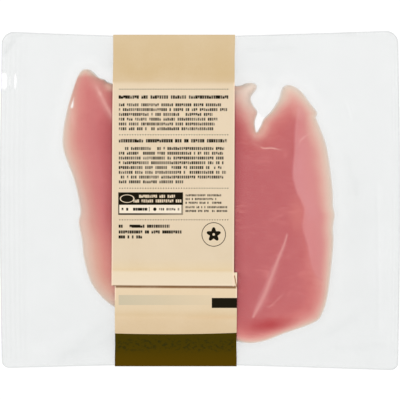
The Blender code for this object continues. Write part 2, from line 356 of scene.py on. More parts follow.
def mesh_object(name, vertices, faces, finish, values):
    """A smooth-shaded mesh object from millimetres, with a named number on each vertex for its finish."""
    data = bpy.data.meshes.new(name)
    data.from_pydata((np.array(vertices) * MM).tolist(), [], faces)
    for label, numbers in values.items():
        attribute = data.attributes.new(label, "FLOAT", "POINT")
        attribute.data.foreach_set("value", np.array(numbers, np.float32))
    data.materials.append(finish)
    data.shade_smooth()
    data.update()
    piece = bpy.data.objects.new(name, data)
    bpy.context.scene.collection.objects.link(piece)
    return piece


OUTLINE_STEP = 1.5
FLESH_STEP = 2.4
FLESH_RINGS = (0.3, 0.9, 1.8, 3, 4.6, 6.6, 9)
LINE_OFFSETS = (-1.5, -0.8, 0, 0.8, 1.5)


def fillet_plan(knots, features):
    """The outline of a fillet and the points inside it: rows along its features, rings, a lattice."""
    outline = curve_through(knots, OUTLINE_STEP, closed=True)
    rows = [beside(line, offset) for line in features for offset in LINE_OFFSETS]
    rows = [row[depth_in(row, outline) > 1] for row in rows]
    rings = [ring(outline, depth) for depth in FLESH_RINGS]
    field = lattice(outline.min(0), outline.max(0), FLESH_STEP)
    field = field[depth_in(field, outline) > FLESH_RINGS[-1] + 0.8]
    return outline, thinned(rows + rings + [field])


def core_share(points, rim, widths):
    """0 at the rim, 1 where the flesh is thick and red. widths are (y, inner side, outer side) stops."""
    at_y, inner, outer = zip(*widths)
    x, y = points.T
    away = smooth(np.abs(x), 58, 72)
    width = np.interp(y, at_y, inner) * (1 - away) + np.interp(y, at_y, outer) * away
    blunt = between(y, 56, 74, 78.5, 82) * (x < 0)
    lobe = smooth(y, 46, 58) * between(x, 0, 20, 38, 44)
    return (rim + 4.6 * blunt) / (width * (1 + 1.6 * lobe))


def two_layers(triangles, shared, count):
    """Faces of an upper and a lower layer of count points each, which share the first ones."""
    lower = [*range(shared), *range(count, 2 * count - shared)]
    return triangles + [[lower[i] for i in reversed(corners)] for corners in triangles]


def fillet_mesh(name, outline, inner, widths, finish):
    """A closed fillet: an upper and an under side that share the outline."""
    plan, triangles = triangulated(outline, inner)
    shared = len(outline)
    depth = np.maximum(depth_in(plan, outline), 0)
    depth[:shared] = 0
    rim = np.maximum(depth_in(plan, flesh_outline), 0)
    upper = np.column_stack([plan, flesh_top(plan, depth)])
    under = np.column_stack([plan, flesh_under(plan, depth)])
    shares = {
        "rim": rim,
        "core": core_share(plan, rim, widths),
        "gleam": gleam_share(plan),
        "flap": flap_share(plan),
        "selvage": selvage_share(plan),
        "sinew": tendon_share(plan),
        "thread": thread_and_highlight_share(plan),
    }
    values = {label: np.concatenate([share, share[shared:]]) for label, share in shares.items()}
    faces = two_layers(triangles, shared, len(plan))
    return mesh_object(name, np.vstack([upper, under[shared:]]), faces, finish, values)


flesh_outline = curve_through(FLESH_OUTLINE, OUTLINE_STEP, closed=True)
left_plan = fillet_plan(LEFT_FILLET, [gleam, *(line for line, _, _ in left_highlights)])
right_plan = fillet_plan(RIGHT_FILLET, [flap_edge, tendon, *(line for line, _, _ in right_threads)])


def operator(operation):
    """A method that adds one Math node, for a wire and another value."""

    def method(wire, other):
        return wire.math(operation, wire, other)

    return method


class Wire:
    """One output of a shader node. Arithmetic on it adds Math nodes to its finish."""

    def __init__(self, finish, socket):
        self.finish = finish
        self.socket = socket

    def math(self, operation, *values):
        return self.finish.node("Math", {"operation": operation}, dict(enumerate(values)))

    __add__ = __radd__ = operator("ADD")
    __sub__ = operator("SUBTRACT")
    __mul__ = __rmul__ = operator("MULTIPLY")
    __truediv__ = operator("DIVIDE")
    __pow__ = operator("POWER")
    __lt__ = operator("LESS_THAN")
    __gt__ = operator("GREATER_THAN")
    __or__ = operator("MAXIMUM")

    def __rsub__(self, other):
        return self.math("SUBTRACT", other, self)

    def __abs__(self):
        return self.math("ABSOLUTE", self)

    def floor(self):
        return self.math("FLOOR", self)

    def rise(self, low, high):
        """0 below the low limit, 1 above the high one, with a soft step between."""
        inputs = {"Value": self, "From Min": low, "From Max": high}
        return self.finish.node("MapRange", {"interpolation_type": "SMOOTHSTEP"}, inputs)

    def ramp(self, stops):
        """The colour at this value along a row of (value, colour) stops."""
        low, high = stops[0][0], stops[-1][0]
        shares = [((at - low) / (high - low), colour) for at, colour in stops]
        return self.finish.node("ValToRGB", {"stops": shares}, {0: (self - low) / (high - low)})

    def shades(self, stops):
        """The same for (value, red, green, blue) stops, as tint takes them."""
        return self.ramp([(at, tint(*channels)) for at, *channels in stops])

    def curve(self, stops):
        """The number at this value along a row of (value, number) stops."""
        top = max(number for _, number in stops)
        return self.ramp([(at, (*[number / top] * 3, 1)) for at, number in stops]) * top

    def band(self, low, high):
        """1 between the limits, 0 outside them."""
        return (self > low) * (self < high)


class Finish:
    """A material being made. node() adds any node and gives a wire from one of its outputs."""

    def __init__(self, name):
        self.material = bpy.data.materials.new(name)
        self.material.use_nodes = True
        self.tree = self.material.node_tree
        self.shader = self.tree.nodes["Principled BSDF"]

    def node(self, kind, settings, inputs, output=0):
        made = self.tree.nodes.new("ShaderNode" + kind)
        for name, value in settings.items():
            if name == "stops":
                for _ in value[2:]:
                    made.color_ramp.elements.new(0.5)
                for element, (at, colour) in zip(made.color_ramp.elements, value):
                    element.position = at
                    element.color = colour
            else:
                setattr(made, name, value)
        for name, value in inputs.items():
            self.plug(made.inputs[name], value)
        return Wire(self, made.outputs[output])

    def plug(self, socket, value):
        if isinstance(value, Wire):
            self.tree.links.new(value.socket, socket)
        else:
            socket.default_value = value

    def set(self, **inputs):
        """Sets or links the shader's own sockets; an underscore stands for a space."""
        for name, value in inputs.items():
            self.plug(self.shader.inputs[name.replace("_", " ")], value)

    def value(self, label):
        """The number of that name that the mesh carries on its vertices."""
        return self.node("Attribute", {"attribute_name": label}, {}, "Fac")

    def place(self, axes="XYZ"):
        """Where the surface lies along the axes, in millimetres."""
        spot = self.node("TexCoord", {}, {}, "Object")
        return [self.node("SeparateXYZ", {}, {0: spot}, axis) / MM for axis in axes]

    def point(self, x, y):
        return self.node("CombineXYZ", {}, {0: x, 1: y})

    def noise(self, point, scale, detail=2, roughness=0.5):
        """Smooth noise about 0, from -0.5 to 0.5, on a point in millimetres."""
        inputs = {"Vector": point, "Scale": scale, "Detail": detail, "Roughness": roughness}
        return self.node("TexNoise", {}, inputs) - 0.5

    def random(self, a, b):
        """A number from 0 to 1 that changes with the whole numbers a and b."""
        return self.node("TexWhiteNoise", {"noise_dimensions": "2D"}, {"Vector": self.point(a, b)}, "Value")

    def spot(self, across, up):
        """1 at the middle of a soft spot, 0 from about its edge; both lengths are shares of its reach."""
        length = self.node("VectorMath", {"operation": "LENGTH"}, {0: self.point(across, up)}, "Value")
        return 1 - length.rise(0, 1.4)

    def mix(self, share, under, over):
        """A colour between two, or one laid over the other by a share."""
        return self.node("Mix", {"data_type": "RGBA", "clamp_factor": True}, {0: share, 6: under, 7: over}, 2)

    def layered(self, colour, layers):
        """A colour under layers of (share, colour), each laid over those before."""
        for share, over in layers:
            colour = self.mix(share, colour, over)
        return colour

    def bump(self, height, distance):
        return self.node("Bump", {}, {"Height": height, "Distance": distance, "Strength": 1})


def tint(red, green, blue):
    """A colour from 0 to 255 a channel, as it looks, in the linear values that shaders take."""
    channels = (c / 255 for c in (red, green, blue))
    return (*(c / 12.92 if c < 0.04045 else ((c + 0.055) / 1.055) ** 2.4 for c in channels), 1)


SILVERSKIN = tint(210, 132, 133)
SILVERSKIN_EDGE = tint(214, 147, 149)
SINEW = tint(217, 150, 146)
FAT = tint(218, 128, 124)
SPOTS = [  # (x, y, reach across, reach up, share, colour): drab, pale, thin and blanched places
    (-62, -50, 18, 36, 0.22, tint(176, 116, 86)),
    (-77, -19, 5, 22, 0.45, tint(230, 196, 180)),
    (62, -9, 6, 13, 0.4, tint(210, 120, 110)),
    (64, 58.5, 6, 7, 0.35, tint(228, 174, 162)),
]
LAP_SHIFT = LEADING_X - TRAILING_X


def flesh_finish(name, colours, sleeve_side, lap_y, deep_span, sleeve_shade_share):
    """Wet raw flesh. colours are stops from the rim to the thick of it; sleeve_side is the nearer edge
    of the sleeve, which steps aside at lap_y and has the thickest, darkest flesh along the deep_span of y;
    the last argument sets how strongly the darker red and the painted shade beside the sleeve are laid on."""
    flesh = Finish(name)
    x, y = flesh.place("XY")
    spot = flesh.point(x, y)
    cloud = flesh.noise(spot, 0.055, 3)
    speck = flesh.noise(spot, 0.45, 3, 0.6)
    strand = flesh.noise(flesh.point(x * 0.3 + y * 0.08, y), 0.5, 4, 0.65)
    patch = flesh.noise(flesh.point(x * 1.3, y * 0.8), 0.1)
    rim = flesh.value("rim")
    flap = flesh.value("flap")
    core = flesh.value("core") * (1 + cloud * 0.4)
    thick = core.rise(0.4, 0.9) * 0.4
    grain = core.rise(0.1, 0.7) * 0.4
    drift = [(-110, LAP_SHIFT), (lap_y - 0.2, LAP_SHIFT), (lap_y, 0), (75, 0.63), (110, 0.8)]
    gap = abs(x - sleeve_side - y.curve(drift))
    low, high = deep_span
    along = y.rise(low, low + 36) * (1 - y.rise(high - 56, high))
    # painted shadow: a thin darker line along the step at the flap's edge
    flap_step_shadow = (1 - abs(flap - 0.3).rise(0, 0.25)) * core.rise(0.3, 0.6)
    pool = flesh.spot((x - 45) / 15, (y + 80.4 + (43 - x) * 0.12) / 5)
    # painted light in the crook of the forked tip, lifting the shade there
    notch_painted_light = flesh.spot((x - 38.8) / 9, (y - 48) / 15) * (1 - rim.rise(0.5, 9))
    colour = flesh.layered(core.shades(colours), [
        ((1 - gap.rise(2, 36)) * along * 0.5, tint(179, 83, 88)),
        # darker red where the flesh is thick against the sleeve, with painted shade along the sleeve's edge
        ((1 - gap.rise(0, 8)) * along * sleeve_shade_share, tint(169, 66, 71)),
        (patch.rise(0.05, 0.35) * gap.rise(2, 16) * thick, FAT),
        ((0 - patch).rise(0.02, 0.3) * thick, tint(182, 76, 78)),
        ((cloud * 1.6 + strand * 2.4).rise(0, 0.9) * grain, FAT),
        ((0 - cloud * 1.4 - strand * 2.4).rise(0, 0.9) * grain, tint(180, 72, 78)),
        # painted shadow along the flap's step
        (flap_step_shadow * 0.3, tint(176, 72, 78)),
        (flap * core.rise(0.2, 0.5) * (0.66 + cloud * 0.6), SILVERSKIN),
        (flesh.value("selvage") * (0.25 + cloud * 0.6), SILVERSKIN_EDGE),
        (flesh.value("sinew") * 0.7, SINEW),
        # pale threads of tissue, and painted highlights along the left tip's fold and the gleam's tail
        (flesh.value("thread"), tint(232, 178, 168)),
        (pool * 0.9, tint(178, 50, 56)),
    ])
    for spot_x, spot_y, across, up, share, shade in SPOTS:
        colour = flesh.mix(flesh.spot((x - spot_x) / across, (y - spot_y) / up) * share, colour, shade)
    colour = flesh.layered(colour, [
        # painted light in the crook of the forked tip
        (notch_painted_light * 0.7, tint(245, 194, 176)),
        # painted light: paler flesh beside the sleeve near its crest, against the crest's shade
        ((1 - gap.rise(0, 8)) * y.rise(69, 74), tint(250, 204, 184)),
        (speck.rise(0.1, 0.45) * 0.14, tint(228, 160, 150)),
        # painted contact shadow: a thin dark line in the flesh against the sleeve's edge
        ((1 - gap.rise(0.2, 1.4)) * along * sleeve_shade_share * 0.6, tint(112, 52, 44)),
        # pale thin rim of the flesh, painted lighter still against the shade at its steep edge
        ((1 - rim.rise(0, 1.4)) * 0.95, tint(247, 238, 229)),
        (flesh.value("gleam").rise(0, 1), tint(255, 250, 247)),
    ])
    relief = strand * 0.4 + speck * 0.25 + cloud * 0.3
    flesh.set(Base_Color=colour, Normal=flesh.bump(relief, 0.0004), Roughness=0.4 + speck * 0.2)
    flesh.set(Specular_IOR_Level=0.25)
    return flesh.material


LAP_FROM_Y = -46.2
LAP_TO_Y = -54.9
LEFT_WIDTHS = [  # (y, width of the pale rim on the inner side, on the outer side)
    (-76, 37, 41), (-52, 30, 40), (-42, 28, 41), (-34, 26, 42), (-26, 24.5, 42),
    (-18, 23, 41), (-6, 21, 34), (8, 19, 28), (20, 19.5, 27.5), (36, 19.5, 27),
    (44, 20, 25), (52, 20, 22), (67, 20, 22), (76, 20, 21), (82, 20, 20),
]
RIGHT_WIDTHS = [
    (-92, 10.5, 11), (-86, 9, 9.5), (-80, 10, 13), (-72, 11, 15), (-60, 12, 14),
    (-50, 12, 16.5), (-40, 12, 18), (-20, 12, 21.5), (5, 12, 29), (36, 11, 29.5),
    (44, 11, 28), (52, 11.5, 23), (60, 16, 28), (68, 32, 35), (77, 60, 60),
]
LEFT_COLOURS = [  # (core, red, green, blue)
    (0, 232, 216, 200), (0.1, 226, 194, 177), (0.24, 220, 167, 151), (0.45, 214, 139, 130),
    (0.67, 208, 123, 118), (0.89, 202, 114, 110), (1.1, 197, 101, 99), (1.35, 192, 91, 91),
    (1.8, 187, 84, 85),
]
RIGHT_COLOURS = [
    (0, 236, 221, 206), (0.1, 229, 199, 182), (0.24, 223, 170, 157), (0.45, 215, 140, 132),
    (0.67, 208, 122, 117), (0.89, 202, 110, 107), (1.1, 196, 101, 100), (1.35, 191, 95, 96),
    (2.4, 186, 89, 92),
]
left_side, right_side = TRAILING_X - HALF_SLEEVE, TRAILING_X + HALF_SLEEVE
left_flesh = flesh_finish("left_flesh", LEFT_COLOURS, left_side, LAP_TO_Y, (-40, 92), 0.55)
right_flesh = flesh_finish("right_flesh", RIGHT_COLOURS, right_side, LAP_FROM_Y, (-92, 84), 0.8)
left_fillet = fillet_mesh("left_fillet", *left_plan, LEFT_WIDTHS, left_flesh)
right_fillet = fillet_mesh("right_fillet", *right_plan, RIGHT_WIDTHS, right_flesh)
for fillet in (left_fillet, right_fillet):
    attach(fillet, "root")
    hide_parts("pack")


# The film --------------------------------------------------------------
# Two clear webs, sealed to each other round the fillets and clinging to them where they hold them.
# Pressed ribs run along the edges, and the free stretches carry faint folds. One closed sheet
# with the hollow that the fillets fill.

LIP = 1.7  # how far each web stands off the seal at the rim of the flesh
CLING = 4  # from the rim to where the webs meet
SIDE_BOW = 1.5
TENT_RISE = 5.2
UPPER_DRAW = (0.6, 2.9, 2.9, 0)  # how far a long edge is drawn in, from left to right
LOWER_DRAW = (1.4, 2.9, 2.9, 0)
CORNER_RADIUS = (7.6, 4.6)  # of the upper corners, of the lower ones
RIB_HEIGHT = 0.3
RIB_WIDTH = 0.8
LEFT_RIBS = (3, 6, 8.6, 11.2)  # distances in from each edge
RIGHT_RIBS = (2.6, 4.6)
UPPER_RIBS = (4.4,)
LOWER_RIBS = (2.2, 4.4)
FOLDS = [  # (from, to, height, width)
    ((-90, -103), (-66, -84), 0.5, 3.6),
    ((-80, -100), (-58, -90), 0.45, 4.2),
    ((-104, -97), (-84, -86), -0.3, 3.6),
    ((102, 10), (107, -84), 0.3, 8),
    ((116, 10), (117, -84), -0.3, 1.6),
    ((95, 64), (98, 54), -0.3, 1.4),
    ((96, 28), (101, 6), 0.35, 3),
    ((84, -86), (100, -76), 0.4, 3.6),
    ((90, -96), (118, -94), 0.3, 2.4),
    ((30, 98), (60, 99), 0.25, 2),
    ((-121, 104), (-126, 96), 0.8, 1.4),
    ((-122, 106), (-116, 107), 0.6, 1.2),
]


def half_length(y):
    return HALF_X - SIDE_BOW * (y / HALF_Y) ** 2


def half_width(x, draw):
    """From the middle line to a long edge, drawn in by the given amounts."""
    inset = HALF_X - CORNER_RADIUS[0]
    return HALF_Y - np.interp(x, [-inset, SLEEVE_LEFT, SLEEVE_RIGHT, inset], draw)


def rim_loop(step):
    """The cut edge of the film, anticlockwise: a rounded rectangle with bowed sides and a waist."""
    large, small = CORNER_RADIUS
    knots = []
    for side_x, side_y, radius, turn in (
        (1, 1, large, 0), (-1, 1, large, 90), (-1, -1, small, 180), (1, -1, small, 270),
    ):
        angles = np.radians(np.linspace(turn, turn + 90, 9))
        x = side_x * (HALF_X - radius) + radius * np.cos(angles)
        y = side_y * (HALF_Y - radius) + radius * np.sin(angles)
        knots += zip(x, y)
    square = []
    for near, far in zip(np.array(knots), np.roll(knots, -1, axis=0)):
        count = max(1, round(math.dist(near, far) / step))
        square += [near + (far - near) * k / count for k in range(count)]
    x, y = np.array(square).T
    reach = np.where(y > 0, half_width(x, UPPER_DRAW), half_width(x, LOWER_DRAW))
    return np.column_stack([x * half_length(y) / HALF_X, y * reach / HALF_Y])


def rib_relief(points):
    """The ribs that the sealing bars press along the four edges."""
    x, y = points.T
    left, right = half_length(y) + x, half_length(y) - x
    upper, lower = half_width(x, UPPER_DRAW) - y, half_width(x, LOWER_DRAW) + y
    height = np.zeros(len(points))
    ends_x, ends_y = np.minimum(left, right), np.minimum(upper, lower)
    for distance, ribs, ends in (
        (left, LEFT_RIBS, ends_y), (right, RIGHT_RIBS, ends_y),
        (upper, UPPER_RIBS, ends_x), (lower, LOWER_RIBS, ends_x),
    ):
        for rib in ribs:
            relief = RIB_HEIGHT * ridge(distance - rib, RIB_WIDTH) * smooth(ends, 3, 9)
            height = np.maximum(height, relief)
    return height


def fold_relief(points):
    height = np.zeros(len(points))
    for start, end, rise, width in FOLDS:
        distance, _ = distance_to(points, np.array([start, end]))
        height += rise * ridge(distance, width)
    return height


def free_relief(points, depth):
    """What the sealed webs do away from the flesh: ribs, folds and slow waves."""
    slow = 0.45 * ripple(points, 38, 31) + 0.15 * ripple(points, 14, 37)
    return (rib_relief(points) + fold_relief(points) + slow) * smooth(-depth, 1, 6)


def veil(points):
    """How much hazier than its surroundings the film is: along its folds, and less over the hollows."""
    x, y = points.T
    crook = 0.5 * between(x, 28, 34, 52, 58) * between(y, 38, 44, 70, 76)
    nick = 0.6 * between(x, -72, -66, -54, -48) * between(y, 68, 74, 82, 88)
    return fold_relief(points) - np.maximum(crook + nick, 2.2 * over_fork(points))


def over_fork(points):
    """1 in the crook of the right fillet's forked tip, which the upper web spans like a tent."""
    x, y = points.T
    below_slope = 1 - smooth(y + 0.97 * (x - 38.2), 56.4, 58.2)
    return smooth(y, 41, 45) * below_slope * between(x, 32, 34.5, 43, 46)


def web_height(points, depth, side, flesh, reach):
    """The upper web for side 1, the lower for side -1: over the flesh or its lip, or free beside them."""
    seal = seal_height(points) + side * FILM
    lip = LIP * (1 - rounded(depth, reach))
    held = seal + side * np.maximum(side * (flesh - seal), lip)
    cling = LIP * np.clip(1 + depth / CLING, 0, 1) ** 2
    return np.where(depth > 0, held, seal + side * cling + free_relief(points, depth))


def film_top(points, depth):
    flesh = flesh_top(points, np.maximum(depth, 0)) + SLACK + FILM
    tent = over_fork(points) * (TENT_RISE + seal_height(points) + FILM)
    web = web_height(points, depth, 1, flesh, FLESH_REACH)
    return np.maximum(web, np.where(depth > 3, 0, tent))


def film_under(points, depth):
    flesh = flesh_under(points, np.maximum(depth, 0)) - FILM
    return web_height(points, depth, -1, flesh, FLESH_UNDER_REACH)


GLINT_Y = 77.5


def film_finish():
    """Clear, glossy film: hazier where two webs lie together, white where a lamp glints on it, denser at
    its cut edge."""
    film = Finish("clear_film")
    x, y = film.place("XY")
    cloud = film.noise(film.point(x, y), 0.03)
    depth = film.value("depth")
    over_flesh = depth.rise(-0.4, 0.3)
    inset = HALF_X - (y / HALF_Y) ** 2 * SIDE_BOW
    left, right = inset + x, inset - x
    left_ribs = left.curve([
        (0, 0), (2, 0), (3, 0.9), (4.2, 0.1), (5, 0.1), (6, 0.9), (7.4, 0), (8.2, 0.1),
        (9.1, 0.7), (10.4, 0), (11.3, 0), (12.4, 0.6), (13.8, 0.1), (15.4, 0.5), (17.6, 0),
    ])
    right_ribs = right.curve([
        (0, 0), (2, 0), (2.7, 0.7), (3.3, 0), (4.2, 0), (4.8, 0.8), (5.4, 0),
    ])
    haze = 0.194 - y * 0.00012 + cloud * 0.05 + film.value("veil") * 0.06
    haze += (left_ribs | right_ribs) * y.band(7 - HALF_Y, HALF_Y - 7) * 0.02
    haze += (1 - film.value("hem").rise(0.1, 0.9)) * 0.1
    haze *= (1 - depth.rise(-12, 0) * (0.1 + y.rise(20, 60) * 0.14)) * (1 - over_flesh * 0.93)
    glints = (1 - abs(y - GLINT_Y).rise(0, 8.5)) * left.curve([
        (0, 1), (3, 1), (4.1, 0.1), (4.8, 0.1), (5.9, 0.38), (6.8, 0.1), (8.3, 0.1), (9, 0.7),
        (9.6, 0.7), (10.4, 0),
    ])
    grazing = film.node("Fresnel", {}, {"IOR": 1.45}) * (1 - over_flesh) * 0.2
    film.set(
        Base_Color=film.mix(glints.rise(0, 0.55), tint(186, 191, 190), tint(255, 255, 255)),
        Alpha=haze + grazing + glints * 0.3, Roughness=0.12, Specular_IOR_Level=0.6,
    )
    return film.material


FILM_STEP = 3.2
RIM_STEP = 2.5
RIB_STEP = 3.5


def film_plan():
    """The cut edge, and the points that lie between it and the flesh."""
    rim = rim_loop(RIM_STEP)
    rings = [ring(flesh_outline, depth) for depth in (-0.8, -1.8, -3, -4.4, -6)]
    rows = []
    offsets = (-RIB_WIDTH, 0, RIB_WIDTH)
    y = np.arange(-HALF_Y + 3, HALF_Y - 2, RIB_STEP)
    x = np.arange(-HALF_X + 3, HALF_X - 2, RIB_STEP)
    for side, ribs in ((-1, LEFT_RIBS), (1, RIGHT_RIBS)):
        rows += [np.column_stack([side * (half_length(y) - rib - o), y]) for rib in ribs for o in offsets]
    for side, draw, ribs in ((1, UPPER_DRAW, UPPER_RIBS), (-1, LOWER_DRAW, LOWER_RIBS)):
        reach = half_width(x, draw)
        rows += [np.column_stack([x, side * (reach - rib - o)]) for rib in ribs for o in offsets]
    for start, end, _, width in FOLDS:
        fold = curve_through([start, end], RIM_STEP)
        rows += [beside(fold, width * share) for share in (-1, -0.5, 0, 0.5, 1)]
    field = lattice((-HALF_X, -HALF_Y), (HALF_X, HALF_Y), FILM_STEP)
    loose = thinned(rings + rows + [field])
    return rim, loose[(depth_in(loose, rim) > 0.5) & (depth_in(loose, flesh_outline) < -0.4)]


def held_plan():
    """The points inside the flesh's outline: those of the fillets, so that the film can't cut into them."""
    both = thinned([left_plan[1], right_plan[1], left_plan[0], right_plan[0]], 0.5)
    return both[depth_in(both, flesh_outline) > 0.2]


def film_mesh():
    """The outer surface of both webs, joined at the cut edge, and the hollow that the fillets fill."""
    rim, free = film_plan()
    held = held_plan()
    edge, shared = len(rim), len(flesh_outline)
    outline_edges = [(edge + i, edge + (i + 1) % shared) for i in range(shared)]
    plan, triangles = triangulated(rim, np.vstack([flesh_outline, free, held]), outline_edges)
    depth = depth_in(plan, flesh_outline)
    depth[edge : edge + shared] = 0
    upper = np.column_stack([plan, film_top(plan, depth)])
    under = np.column_stack([plan, film_under(plan, depth)])
    count = len(plan)
    faces = two_layers(triangles, 0, count)
    for i in range(edge):
        j = (i + 1) % edge
        faces.append([i, i + count, j + count, j])
    hollow, hollow_triangles = triangulated(flesh_outline, held)
    hollow_depth = np.maximum(depth_in(hollow, flesh_outline), 0)
    hollow_depth[:shared] = 0
    roof = np.column_stack([hollow, flesh_top(hollow, hollow_depth) + SLACK])
    bed = np.column_stack([hollow, flesh_under(hollow, hollow_depth) - SLACK / 2])
    roof[:shared, 2] = SEAL_Z
    inside = two_layers(hollow_triangles, shared, len(hollow))
    faces += [[2 * count + i for i in reversed(corners)] for corners in inside]
    inner_depth = np.concatenate([hollow_depth, hollow_depth[shared:]])
    hem, haze = np.maximum(depth_in(plan, rim), 0), veil(plan)
    values = {
        "depth": np.concatenate([depth, depth, inner_depth]),
        "hem": np.concatenate([hem, hem, np.full(len(inner_depth), HALF_Y)]),
        "veil": np.concatenate([haze, haze, np.zeros(len(inner_depth))]),
    }
    return mesh_object("film", np.vstack([upper, under, roof, bed[shared:]]), faces, film_finish(), values)


film = film_mesh()
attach(film, "root")
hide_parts("pack")


# The sleeve ------------------------------------------------------------
# A strip of buff card wrapped once round the pack, its trailing end glued over its leading end
# below the middle of the upper side. Printed with plain rows, rules and an olive band.

PAPER = 0.35
LAP_CLIMB = 6
LAP_SKEW = 0.006  # slope of the glued end
SPREAD = 0.3  # of each edge where the card bends down to the seal
FLOOR_Y = 92
CARD_COLUMNS = 33


def filleted(corners):
    """A path in the (y, z) plane through corners of (y, z, radius, steps), each one rounded."""
    path = []
    for i, (y, z, radius, steps) in enumerate(corners):
        here = np.array([y, z])
        if i in (0, len(corners) - 1):
            path.append(here)
            continue
        back = np.array(corners[i - 1][:2]) - here
        on = np.array(corners[i + 1][:2]) - here
        back /= np.linalg.norm(back)
        on /= np.linalg.norm(on)
        half = math.acos(float(np.clip(back @ on, -1, 1))) / 2
        middle = here + (back + on) / np.linalg.norm(back + on) * radius / math.sin(half)
        start = here + back * radius / math.tan(half)
        end = here + on * radius / math.tan(half)
        a0 = math.atan2(*(start - middle)[::-1])
        a1 = math.atan2(*(end - middle)[::-1])
        sweep = (a1 - a0 + math.pi) % (2 * math.pi) - math.pi
        for k in range(steps + 1):
            a = a0 + sweep * k / steps
            path.append(middle + radius * np.array([math.cos(a), math.sin(a)]))
    return np.array(path)


def evenly(path, step):
    """The same path with further points, so that none lie more than a step apart."""
    made = [path[0]]
    for near, far in zip(path, path[1:]):
        count = max(1, math.ceil(math.dist(near, far) / step))
        made += [near + (far - near) * k / count for k in range(1, count + 1)]
    return np.array(made)


def sleeve_path():
    """The middle of the card from the leading end, down, under the pack, and back over the top."""
    top_z = CROWN_Z + 0.3 + PAPER / 2
    lap_z = top_z + PAPER + 0.03
    bends = [  # (y, z, radius, steps) from the top to the table
        (CREST_Y - 17, top_z, 60, 8), (CREST_Y, CREST_Z, 5, 8), (TURN_Y, SEAL_Z + 0.9, 1.1, 6),
        (TURN_Y, SEAL_Z - 0.9, 1.1, 6), (FLOOR_Y, PAPER / 2, 25, 6),
    ]
    corners = [(LAP_FROM_Y, top_z, 0, 0)]
    corners += [(-y, z, radius, steps) for y, z, radius, steps in bends] + bends[::-1]
    corners += [
        (LAP_FROM_Y + LAP_CLIMB, top_z, 3, 4), (LAP_FROM_Y + 2, lap_z, 3, 4), (LAP_TO_Y, lap_z, 0, 0),
    ]
    return evenly(filleted(corners), 1.6)


INK = tint(26, 22, 12)
DOT_PITCH = 1.65
DOT_RADIUS = 0.38
PRINT_X = -52.3
HEADING = (2.2, 1.45, 0.74)  # height, pitch and width of the strokes
BODY = (1.9, 1.3, 0.52)
SMALL = (1.35, 1, 0.5)
BOLD = (2, 1.4, 0.78)
PRINT = [  # (height of the first row, rows, pitch, from x, to x, ragged, strokes)
    (66.5, 1, 3, PRINT_X, 18.3, 0.3, HEADING),
    (61.45, 6, 3.08, PRINT_X, 17.6, 10, BODY),
    (38.35, 1, 3, PRINT_X, 17.4, 0.3, HEADING),
    (33.4, 7, 3.06, PRINT_X, 17, 3.5, BODY),
    (11.98, 1, 3, PRINT_X, -10.5, 0.3, BODY),
    (3.35, 3, 2.4, -9.4, 15.6, 6, SMALL),
    (-4.3, 2, 2.44, -9.4, 18.6, 2, SMALL),
    (-16.5, 1, 3, PRINT_X, -19.5, 0.1, BOLD),
    (-20.2, 1, 3, PRINT_X, -11.6, 0.1, BOLD),
    (-23.4, 1, 3, PRINT_X, -37.2, 0.1, BOLD),
    (-5.6, 1, 3, -50.5, -33.5, 0.1, (1.8, 1.5, 0.8)),
    (-5.6, 1, 3, -26.5, -13, 0.1, (1.6, 1.2, 0.5)),
]
PALE_PRINT = [
    (2.7, 1, 3, -39.2, -16, 0.1, (1.9, 1.3, 0.6)),
    (-0.3, 1, 3, -43, -11.9, 0.1, (1.9, 1.3, 0.6)),
]
# Along y the card is darker and yellower toward both ends. At the lap the colour carries painted light and
# shade: lighter over the lapped end, painted shade in the fold just above it and in the fold at about y -74,
# a dark brown line as the painted shadow of the end's cut edge, and a light line as a painted highlight on
# that edge.
BUFF = [  # (y, red, green, blue)
    (-110, 208, 182, 147), (-86, 211, 186, 149), (-78, 215, 190, 154), (-75.5, 219, 194, 157),
    (-73.5, 214, 189, 151), (-70, 220, 198, 164), (-57.3, 226, 203, 169), (-56.7, 230, 206, 173),
    (-56.45, 214, 182, 144), (-56.25, 142, 100, 56), (-55.5, 118, 76, 34), (-55, 112, 72, 32),
    (-54.87, 240, 214, 184), (-54.3, 240, 220, 192), (-53.6, 229, 212, 186), (-46.2, 229, 211, 182),
    (-44.8, 222, 198, 158), (-42.7, 222, 201, 166), (-37, 219, 200, 171), (20, 224, 205, 177),
    (70, 226, 207, 179), (74.5, 226, 205, 174), (77, 212, 186, 146), (82, 209, 182, 138),
    (110, 214, 190, 151),
]


def printed_rows(card, x, y, blocks):
    """Rows of upright strokes in word-like groups, as grey as small print, with nothing to read."""
    totals = [0] * 5
    for number, (first_y, rows, pitch, left, right, ragged, strokes) in enumerate(blocks):
        size, step, share = strokes
        row = ((first_y + pitch / 2 - y) / pitch).floor()
        rise = (y - first_y + row * pitch) / size
        row_key = row + 20 * number
        end = right - card.random(row_key, 3) * ragged
        block = row.band(-0.5, rows - 0.5) * (abs(rise) < 0.5) * (x > left) * (x < end)
        parts = (block, block * (x - left) / step, block * row_key, block * rise, block * share)
        totals = [part + total for part, total in zip(parts, totals)]
    inside, along, key, level, width = totals
    cell = along.floor()
    off = abs(along - cell - 0.5)
    chance = card.random(cell, key)
    stroke = off < width * (0.3 + card.random(cell, key + 400) * 0.4)
    cut = ((chance > 0.12) | (level > -0.2)) * ((chance < 0.88) | (level < 0.2))
    words = card.random(cell, key + 800) > 0.15
    return inside * words * (stroke * cut | 0.3)


def dotted_rule(x, y, at_y, left, right):
    step = (x - left) / DOT_PITCH
    off = (step - step.floor() - 0.5) * DOT_PITCH
    return (off**2 + (y - at_y) ** 2 < DOT_RADIUS**2) * x.band(left, right)


